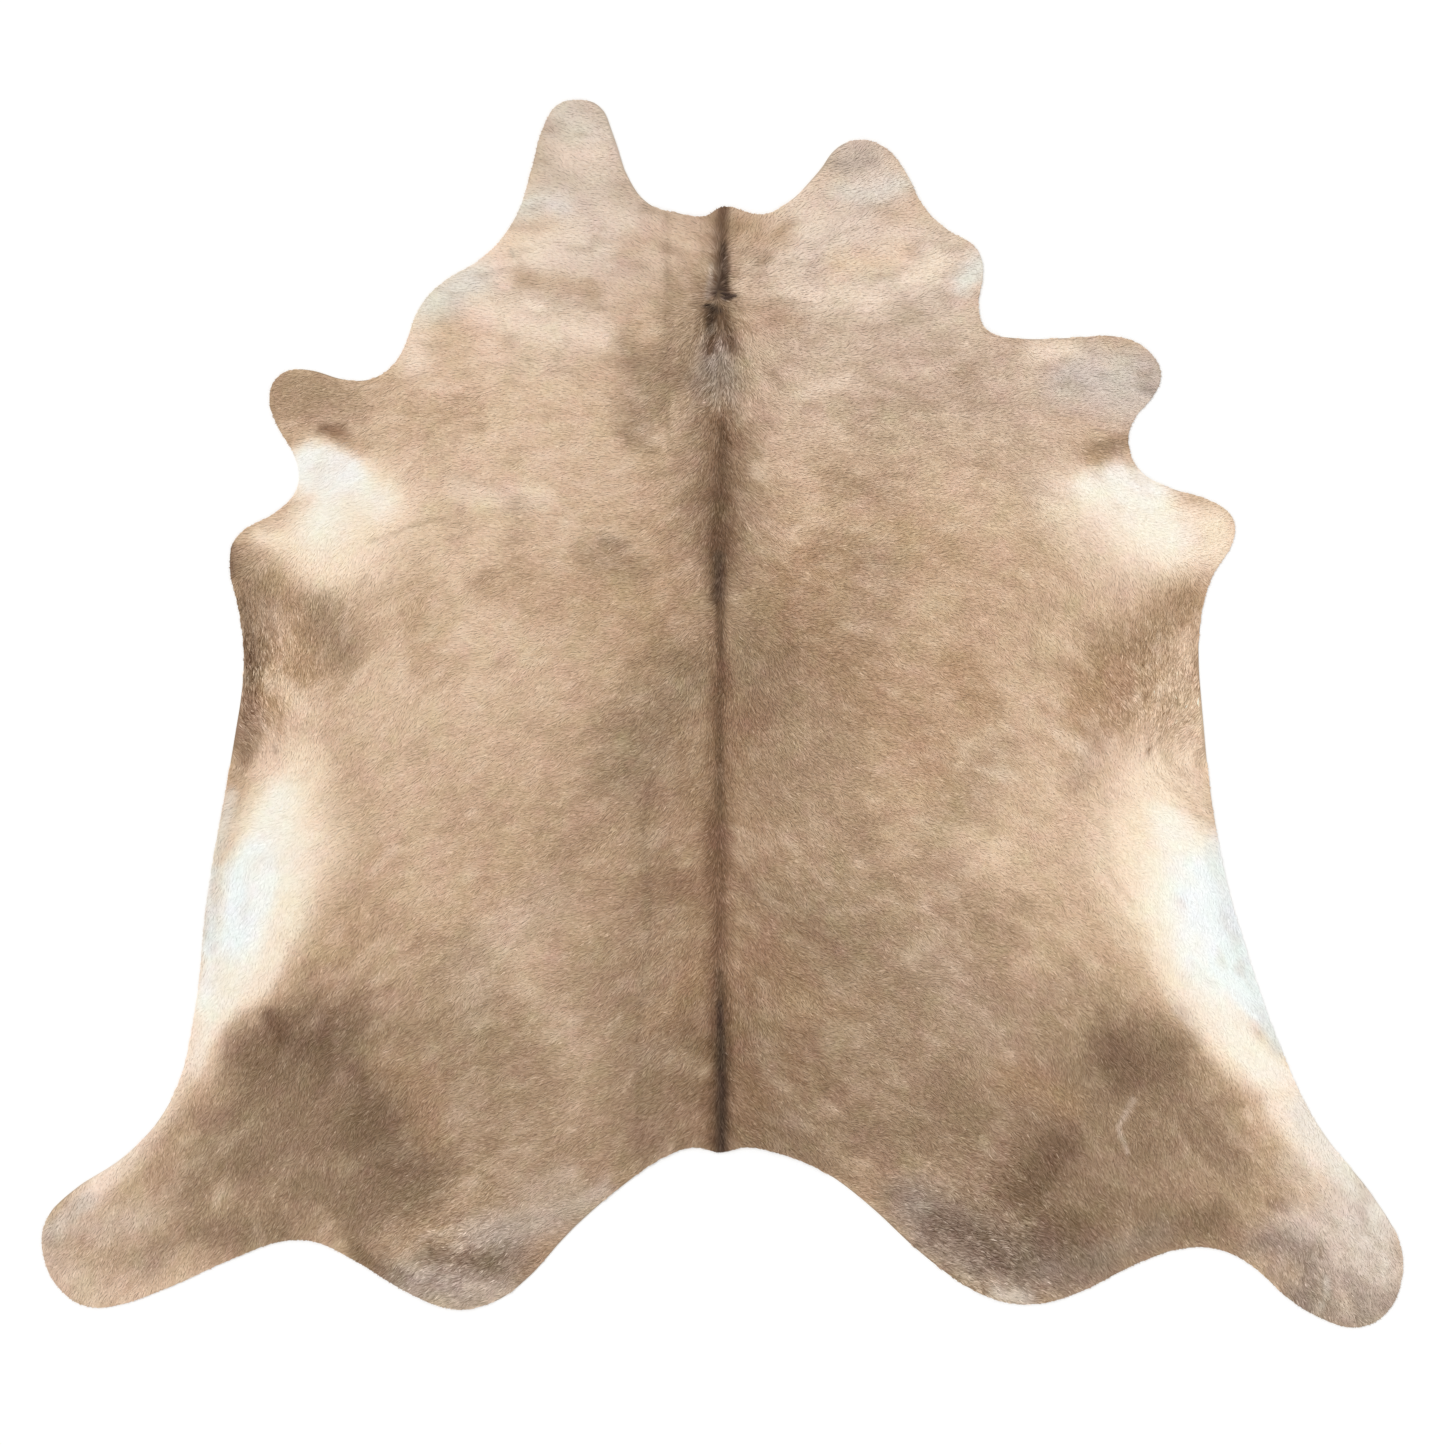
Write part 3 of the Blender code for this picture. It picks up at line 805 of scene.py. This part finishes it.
    ("loin line", "umber", 52, ((-4, 60, 9), (-5, -250, 12), (-6, -440, 15))),
    ("rump stripe haze", "russet", 70, ((-8, -180, 28), (-6, -760, 42))),
    ("rump stripe", "umber", 86, ((-5, -440, 12), (-2, -530, 24), (-1, -760, 30))),
    ("rump core", "black brown", 60, ((-4, -490, 7), (-2, -580, 13), (-2, -760, 15))),
    ("neck stripe", "umber", 80, ((0, 875, 13), (-2, 800, 17), (-5, 720, 23)), 90),
    ("neck stripe core", "black brown", 62, ((1, 800, 8), (1, 760, 15), (0, 722, 18))),
    ("neck grey strand", "ash", 50, ((-14, 765, 5), (-16, 735, 7), (-19, 712, 9))),
    ("cowlick brown", "umber", 55, ((-10, 690, 26), (-10, 640, 34))),
    ("cowlick fan, left", "umber", 80, ((-11, 694, 14), (-15, 655, 18), (-24, 620, 13))),
    ("cowlick fan, right", "umber", 64, ((2, 690, 9), (6, 655, 16), (20, 625, 14))),
    ("cowlick core", "black brown", 55, ((-14, 692, 13), (-18, 655, 12))),
    ("upper curl", "black brown", 95, ((-6, 722, 10), (4, 713, 9), (20, 714, 5)), 80),
    ("lower curl", "black brown", 85, ((-23, 697, 5), (-15, 700, 7), (-6, 693, 7)), 80),
)]


def reach_of(dabs, x, y):
    """How far each place is out from the chain of dabs: 0 on its middle line, 1 at its rim."""
    nearest = np.full(x.shape, np.inf)
    for (ax, ay, a_radius), (bx, by, b_radius) in zip(dabs, dabs[1:]):
        run_x, run_y = bx - ax, by - ay
        share = np.clip(((x - ax) * run_x + (y - ay) * run_y) / (run_x**2 + run_y**2), 0, 1)
        away = np.hypot(x - ax - share * run_x, y - ay - share * run_y)
        nearest = np.minimum(nearest, away / (a_radius + share * (b_radius - a_radius)))
    return nearest


def marked(x, y):
    """The coat's colour at each place with its marks alone, as a screen colour."""
    colour = np.ones((len(x), 3)) * as_screen(HAIR["champagne"])
    astray = EDGE_WANDER * np.clip(np.abs(x) / SPINE_KEEPS, 0, 1)
    x, y = x + astray * read_grid(wander_x, x, y), y + astray * read_grid(wander_y, x, y)
    feather = FEATHER * read_grid(feathers, x, y)
    for mark in MARKS:
        dabs = np.array(mark.dabs) * MM
        out, up, radius = dabs.T
        widest = radius.max() * (1 + 2 * FEATHER)
        near = (x > out.min() - widest) & (x < out.max() + widest)
        near &= (y > up.min() - widest) & (y < up.max() + widest)
        near = np.flatnonzero(near)
        reach = reach_of(dabs, x[near], y[near]) + feather[near]
        cover = mark.strength / 100 * (1 - soft_step(1 - mark.soft / 100, 1, reach))
        colour[near] += cover[:, None] * (as_screen(HAIR[mark.hair]) - colour[near])
    return colour


def grizzled(x, y):
    """How grizzled the coat is at each place."""
    return sum(more * bell(np.hypot(x - out, y - up), radius) for out, up, radius, more in GRIZZLED)


def coat_colour(x, y):
    """The coat's colour with its mottling: light mottles are rosy, dark ones are tan."""
    colour = marked(x, y)
    mottling = 0.0
    for field, strength in MOTTLING:
        mottling = mottling + strength * read_grid(field, x, y)
    mottling *= 1 + NECK_MOTTLING * soft_step(*NECK_MOTTLED, y)
    paleness = colour.mean(axis=1)
    left_in_dark = DARK_CALM + (1 - DARK_CALM) * soft_step(*DARK_TO_PALE, paleness)
    mottling *= np.minimum(1, 1 + CALM_FROM - paleness) * left_in_dark
    mottling += WHITE_STRANDS * grizzled(x, y) * np.maximum(read_grid(streaks, x, y), 0)
    target = np.where(mottling[:, None] > 0, as_screen(LIGHT_MOTTLE), as_screen(DARK_MOTTLE))
    colour += ROSY * read_grid(rosiness, x, y)[:, None]
    return colour + np.abs(mottling)[:, None] * (target - colour)


print("marks on the coat:", len(MARKS), "in", len(HAIR), "colours of hair")

# %% [markdown]
# ## One lock of hair
#
# A single hair is far too thin to show, but hairs lie together in locks about 2 mm wide and
# 14 mm long, and those are what the eye sees. The lock is modelled once, as by hand: a plane is
# turned to a diamond, its side corners are drawn back towards the root and lifted a little, its
# tip is lifted more, and the fold from root to tip makes a small ridge that catches the light.
# Two triangles are all that it has, because there are nearly half a million locks.

# %% The lock, one unit long, wide and high
SIDE_PLACE = 0.40  # how far along the lock it is widest
SIDE_HEIGHT = 0.26  # lower than the fold, which is at 0.40 there, so that the lock is a low roof

bpy.ops.object.select_all(action="DESELECT")
bpy.ops.mesh.primitive_plane_add(size=1 / 2**0.5, location=(0, 0, 0))
lock = bpy.context.object
lock.name = "lock"
bpy.ops.object.mode_set(mode="EDIT")
bpy.ops.transform.rotate(value=pi / 4, orient_axis="Z", center_override=(0, 0, 0))
bpy.ops.transform.translate(value=(0.5, 0, 0))
bpy.ops.mesh.select_mode(type="VERT")


def select_points(mesh, chosen):
    """Selects the points whose place passes the test, in edit mode before and after."""
    bpy.ops.mesh.select_all(action="DESELECT")
    bpy.ops.object.mode_set(mode="OBJECT")
    for point in mesh.vertices:
        point.select = chosen(point.co)
    bpy.ops.object.mode_set(mode="EDIT")


select_points(lock.data, lambda place: abs(place.y) > 0.1)
bpy.ops.transform.translate(value=(SIDE_PLACE - 0.5, 0, SIDE_HEIGHT))
select_points(lock.data, lambda place: place.x > 0.9)
bpy.ops.transform.translate(value=(0, 0, 1))
bpy.ops.mesh.select_all(action="SELECT")
bpy.ops.mesh.quads_convert_to_tris(quad_method="LONGEST_DIAGONAL")
bpy.ops.object.mode_set(mode="OBJECT")
lock_points = points_of(lock.data)
lock_faces = np.array([face.vertices[:] for face in lock.data.polygons])
bpy.data.objects.remove(lock)
print("lock:", len(lock_points), "points,", len(lock_faces), "triangles")

# %% [markdown]
# ## The coat
#
# Locks grow all over the skin, a little under 3 mm apart, in staggered rows that are shaken out of
# line. Each follows the guides, strays a little from its neighbours, and stops at the rim, so the
# edge stays as clean as the trimmed one. A particle system would do this too, but its hairs are
# only there while Blender runs. Arrays of points joined into a few meshes stay with the part.

# %% Where the locks grow
LOCK_SPACING = 2.76 * MM
LOCK_LENGTH = 14.0 * MM
LOCK_WIDTH = 2.1 * MM
ROOT_INSET = 0.3 * MM  # no lock is rooted nearer to the rim
RIM_OVERHANG = 1.2 * MM
BELLY_COAT = 2.2 * MM
BACK_COAT = 3.2 * MM
SHAKE = 0.45  # how far a root strays from its row, as a share of the spacing

row_gap = LOCK_SPACING * 3**0.5 / 2
root_x, root_y = np.meshgrid(
    np.arange(hide_low.x, hide_high.x, LOCK_SPACING),
    np.arange(hide_low.y, hide_high.y, row_gap),
)
root_x = root_x + LOCK_SPACING / 2 * (np.arange(len(root_x)) % 2)[:, None]
shake = draw.uniform(-SHAKE, SHAKE, (2, *root_x.shape)) * LOCK_SPACING
root_x, root_y = (root_x + shake[0]).ravel(), (root_y + shake[1]).ravel()
on_hide = read_grid(rim, root_x, root_y) > ROOT_INSET
root_x, root_y = root_x[on_hide], root_y[on_hide]
LOCKS = len(root_x)
print("locks:", LOCKS, "in", LOCKS * len(lock_faces), "triangles")

# %% Which way each lock lies, and how long it is
HEADING_STRAY = radians(10)
CLUMP_TURN = radians(11)
SWEEP_TURN = radians(6)
LENGTH_VARIES = (0.75, 1.15)
LIFT_VARIES = (0.6, 1.15)
SHORTEST = 0.2  # of its length, for a lock that points out over the rim
FLATTEST = 0.55  # of its lift, for a lock cut down to nothing

clump = patchy(0.012)
sweep = patchy(0.060)
turn = (
    HEADING_STRAY * draw.standard_normal(LOCKS)
    + CLUMP_TURN * read_grid(clump, root_x, root_y)
    + SWEEP_TURN * read_grid(sweep, root_x, root_y)
)
flow_x, flow_y = lie_of_hair(root_x, root_y)
step_x = flow_x * np.cos(turn) - flow_y * np.sin(turn)
step_y = flow_x * np.sin(turn) + flow_y * np.cos(turn)
length = LOCK_LENGTH * draw.uniform(*LENGTH_VARIES, LOCKS)
fits = np.full(LOCKS, SHORTEST)
still = np.ones(LOCKS, bool)
for share in np.arange(0.3, 1.01, 0.1):  # longer and longer, while the tip stays on the hide
    tip_in = read_grid(rim, root_x + share * length * step_x, root_y + share * length * step_y)
    still &= tip_in > -RIM_OVERHANG
    fits[still] = share
length = length * fits
coat_depth = BELLY_COAT + (BACK_COAT - BELLY_COAT) * bell(root_x, BACK_HALF_WIDTH)
lift = coat_depth * draw.uniform(*LIFT_VARIES, LOCKS) * (FLATTEST + (1 - FLATTEST) * fits)
print("shortened at the rim:", int((fits < 0.95).sum()))

# %% What colour each lock is
DARK_STRAY, PALE_STRAY = 0.040, 0.012  # how much one lock's tone strays, in dark hair and in pale
STRAY_FALLS = (0.55, 0.85)  # from the first tone to the second, it falls from the one to the other
HAIR_GAIN = 1.12  # locks shade each other a little, and this gives the light back
HAIR_CONTRAST, MIDDLE_TONE = 1.14, 0.66  # light that strays from lock to lock evens the tones out
CONTRAST_FALLS = (0.75, 0.95)  # near to white there is no more contrast to give back
# painted shade at each lock's root and painted light at its tip, as shares of its colour
ROOT_SHADE, SIDE_SHADE, TIP_SHADE = 0.86, 1.0, 1.08
WHITEST = 0.98
FLECKS, FLECK_TONE = 0.012, 2.6  # the share of locks that are white flecks, and how white they are
PALE_SHEER = 0.7  # white hair lets light through, so its roots are shaded this much less
COLOUR_PLACE = 0.5  # a point takes its colour from this share of its way along the lock
NECK_EVENNESS = 0.5  # how much less one lock's tone strays on the neck
NECK_EVEN = (0.5, 0.8)  # this too grows from the first to the second, up the back

lock_tone = draw.standard_normal(LOCKS)
lock_tone[draw.random(LOCKS) < FLECKS] += FLECK_TONE
lock_tone *= 1 + grizzled(root_x, root_y)
lock_tone *= 1 - NECK_EVENNESS * soft_step(*NECK_EVEN, root_y)


def hair_light(x, y, tone):
    """The light that hair at each place gives back, with its lock's own tone."""
    colour = coat_colour(x, y)
    paleness = colour.mean(axis=1)
    stray = DARK_STRAY + (PALE_STRAY - DARK_STRAY) * soft_step(*STRAY_FALLS, paleness)
    lighter = (HAIR_CONTRAST - 1) * (paleness - MIDDLE_TONE) * (1 - soft_step(*CONTRAST_FALLS, paleness))
    lighter += stray * tone
    return as_light(np.clip(colour + lighter[:, None], 0, 1)) * HAIR_GAIN


# %% Locks joined into a few meshes
WIDTH_VARIES = (0.8, 1.2)
STRAND_SPREAD = 40  # each lock shows its own place on a map this wide, so no two look alike
MAP_MARGIN = 0.01  # left free round the map for the bake
shade_along = np.full(len(lock_points), SIDE_SHADE)
shade_along[lock_points[:, 0] < 0.1] = ROOT_SHADE
shade_along[lock_points[:, 0] > 0.9] = TIP_SHADE
lock_width = LOCK_WIDTH * draw.uniform(*WIDTH_VARIES, LOCKS)
strand_shift = draw.uniform(0, STRAND_SPREAD, (LOCKS, 2))


def joined_locks(name, chosen):
    """One mesh of the chosen locks, with their colours and their maps."""
    along, across, up = lock_points.T
    count = len(chosen)
    run_x, run_y = (length * step_x)[chosen, None], (length * step_y)[chosen, None]
    wide_x, wide_y = (-lock_width * step_y)[chosen, None], (lock_width * step_x)[chosen, None]
    x = root_x[chosen, None] + along * run_x + across * wide_x
    y = root_y[chosen, None] + along * run_y + across * wide_y
    z = leather_height(x, y) + up * lift[chosen, None]
    points = np.stack([x, y, z], axis=2).reshape(-1, 3)
    faces = (lock_faces[None] + len(lock_points) * np.arange(count)[:, None, None]).reshape(-1, 3)
    mesh = bpy.data.meshes.new(name)
    mesh.vertices.add(len(points))
    mesh.vertices.foreach_set("co", points.ravel())
    mesh.loops.add(faces.size)
    mesh.loops.foreach_set("vertex_index", faces.ravel())
    mesh.polygons.add(len(faces))
    mesh.polygons.foreach_set("loop_start", 3 * np.arange(len(faces)))
    mesh.update(calc_edges=True)
    colour_x = x + (COLOUR_PLACE - 1) * along * run_x
    colour_y = y + (COLOUR_PLACE - 1) * along * run_y
    tone = np.repeat(lock_tone[chosen], len(lock_points))
    light = hair_light(colour_x.ravel(), colour_y.ravel(), tone)
    # painted shade towards each lock's root and painted light at its tip, less in white hair
    shading = np.tile(shade_along - 1, count) * (1 - PALE_SHEER * light.mean(axis=1))
    light *= 1 + shading[:, None]
    paint_points(mesh, no_whiter(light))
    strand = np.stack(np.broadcast_arrays(across, along), axis=1)[None] + strand_shift[chosen, None, :]
    map_corners(mesh, "strands", strand.reshape(-1, 2))
    map_from_above(mesh)
    mesh.shade_smooth()
    piece = bpy.data.objects.new(name, mesh)
    bpy.context.collection.objects.link(piece)
    return piece


def paint_points(mesh, light):
    """Stores a colour, in light, with each point."""
    colours = np.ones((len(light), 4))
    colours[:, :3] = light
    layer = mesh.color_attributes.new("hair_colour", "FLOAT_COLOR", "POINT")
    layer.data.foreach_set("color", colours.ravel())


def no_whiter(light):
    """The colours, with those that would glow made darker, and their tint kept."""
    return light * np.minimum(1, WHITEST / light.max(axis=1))[:, None]


def map_corners(mesh, name, per_point):
    """A UV map that gives every corner its point's pair of numbers."""
    corners = np.empty(len(mesh.loops), int)
    mesh.loops.foreach_get("vertex_index", corners)
    mesh.uv_layers.new(name=name).data.foreach_set("uv", per_point[corners].ravel())


def map_from_above(mesh):
    """The whole hide's box as one square map, seen from above."""
    points = points_of(mesh)
    across = (points[:, 0] - hide_low.x) / (hide_high.x - hide_low.x)
    along = (points[:, 1] - hide_low.y) / (hide_high.y - hide_low.y)
    map_corners(mesh, "OFBake", MAP_MARGIN + (1 - 2 * MAP_MARGIN) * np.stack([across, along], axis=1))


REGIONS = ("rump", "haunches", "loin", "ribs", "shoulders_and_neck")
from_tail = np.array_split(np.argsort(root_y, kind="stable"), len(REGIONS))
coat = [joined_locks("coat_" + region, chosen) for region, chosen in zip(REGIONS, from_tail)]
print("coat:", {piece.name: len(piece.data.polygons) for piece in coat})

# %% [markdown]
# ## Finishes
#
# Hair is a bundle of clear-skinned fibres: matt across, softly shiny along, with a faint bloom at
# a glancing angle, which is what sheen gives. Its colour is the painted one, and fine strands are
# drawn along each lock on the lock's own map. The flesh side is suede: leather sanded to a nap,
# pale and quite dull.

# %% The painted colour, made uneven
def colour_with_hair(tree, shader, unevenness, span, tones):
    """Gives the shader the painted hair, lighter or darker as this unevenness goes over its span."""
    painted = add_node(tree, "ShaderNodeAttribute", {"attribute_name": "hair_colour"})
    tone = add_node(
        tree,
        "ShaderNodeMapRange",
        links={"Value": unevenness.outputs["Fac"]},
        values={"From Min": span[0], "From Max": span[1], "To Min": tones[0], "To Max": tones[1]},
    )
    toned = add_node(
        tree,
        "ShaderNodeVectorMath",
        {"operation": "SCALE"},
        {"Vector": painted.outputs["Color"], "Scale": tone.outputs["Result"]},
    )
    tree.links.new(toned.outputs["Vector"], shader.inputs["Base Color"])


# %% Hair
STRANDS_A_LOCK = 5.0  # real hairs are 0.05 mm; these are about 0.4 mm, so that they show
CHANGES_A_LOCK = 0.7  # how often a strand changes along one lock, so most run right through it
coat_hair, tree, shader = new_material("short cattle hair combed flat")
strand_map = add_node(tree, "ShaderNodeUVMap", {"uv_map": "strands"})
drawn_out = add_node(
    tree,
    "ShaderNodeMapping",
    links={"Vector": strand_map.outputs["UV"]},
    values={"Scale": (STRANDS_A_LOCK, CHANGES_A_LOCK, 1)},
)
strands = add_node(
    tree,
    "ShaderNodeTexNoise",
    links={"Vector": drawn_out.outputs["Vector"]},
    values={"Scale": 1.0, "Detail": 2.0},
)
relief = add_node(
    tree,
    "ShaderNodeBump",
    links={"Height": strands.outputs["Fac"]},
    values={"Strength": 0.35, "Distance": 0.2 * MM},
)
tree.links.new(relief.outputs["Normal"], shader.inputs["Normal"])
colour_with_hair(tree, shader, strands, span=(0.3, 0.7), tones=(0.90, 1.10))
set_sockets(shader, {"Roughness": 0.62, "IOR": 1.55, "Specular IOR Level": 0.18})
set_sockets(shader, {"Sheen Weight": 0.06, "Sheen Roughness": 0.5})
for piece in coat:
    piece.data.materials.append(coat_hair)
print("finish of the coat:", coat_hair.name)

# %% Hair roots, under the locks
ROOTS_A_METRE = 700.0  # one about every 1.4 mm
hair_roots, tree, shader = new_material("hair roots against the skin")
place = add_node(tree, "ShaderNodeTexCoord").outputs["Object"]
stubble = add_node(tree, "ShaderNodeTexNoise", links={"Vector": place}, values={"Scale": ROOTS_A_METRE})
colour_with_hair(tree, shader, stubble, span=(0, 1), tones=(0.8, 1.1))
set_sockets(shader, {"Roughness": 0.8, "Specular IOR Level": 0.2})
print("finish under the coat:", hair_roots.name)

# %% Suede
NAP = 0.9 * MM
PATCHES_A_METRE = 9.0  # sanding by hand leaves paler and darker places about 11 cm wide
NAP_SHARE = 0.45  # how much of the unevenness is the nap's
suede, tree, shader = new_material("suede flesh side of tanned leather")
place = add_node(tree, "ShaderNodeTexCoord").outputs["Object"]
nap = add_node(
    tree,
    "ShaderNodeTexNoise",
    links={"Vector": place},
    values={"Scale": 1 / NAP, "Detail": 4.0, "Roughness": 0.7},
)
patches = add_node(
    tree,
    "ShaderNodeTexNoise",
    links={"Vector": place},
    values={"Scale": PATCHES_A_METRE, "Detail": 5.0, "Roughness": 0.6},
)
both = add_node(
    tree,
    "ShaderNodeMix",
    {"data_type": "FLOAT"},
    {"A": patches.outputs["Fac"], "B": nap.outputs["Fac"]},
    {"Factor": NAP_SHARE},
)
ramp = add_node(tree, "ShaderNodeValToRGB", links={"Fac": both.outputs[0]})
for stop, position, code in zip(ramp.color_ramp.elements, (0.34, 0.66), ("#b3a48e", "#d9cdb8")):
    stop.position = position
    stop.color = rgba(code)
tree.links.new(ramp.outputs["Color"], shader.inputs["Base Color"])
relief = add_node(
    tree,
    "ShaderNodeBump",
    links={"Height": nap.outputs["Fac"]},
    values={"Strength": 0.5, "Distance": 0.3 * MM},
)
tree.links.new(relief.outputs["Normal"], shader.inputs["Normal"])
set_sockets(shader, {"Roughness": 0.92, "Specular IOR Level": 0.15, "Sheen Weight": 0.25})
print("finish of the flesh side:", suede.name)

# %% Both finishes on the skin
PALE_ROOT = 1.15  # white hair lets the light through, so it is lit from within at its roots
PALE_ROOTS_FROM = (0.7, 0.95)  # from the first tone to the second, it comes in
skin.data.materials.clear()
skin.data.materials.append(hair_roots)
skin.data.materials.append(suede)
for face in skin.data.polygons:
    face.material_index = 0 if face.normal.z > 0.5 else 1
points = points_of(skin.data)
under = coat_colour(points[:, 0], points[:, 1])
sheer = soft_step(*PALE_ROOTS_FROM, under.mean(axis=1))[:, None]
# the skin under the coat: its colour with painted shade, and under white hair with painted light
paint_points(skin.data, no_whiter((ROOT_SHADE + (PALE_ROOT - ROOT_SHADE) * sheer) * as_light(under)))
map_from_above(skin.data)
print("finishes:", [material.name for material in (coat_hair, hair_roots, suede)])

# %% [markdown]
# ## Handing the pieces to the frame
#
# The skin takes the solid hide's place, and the coat goes with it. The hide was never hung or
# sewn: it was cut flat and lies flat, so its flat size is its own size.

# %% Hand over
for piece in (skin, *coat):
    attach(piece, "root")
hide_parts("cowhide")
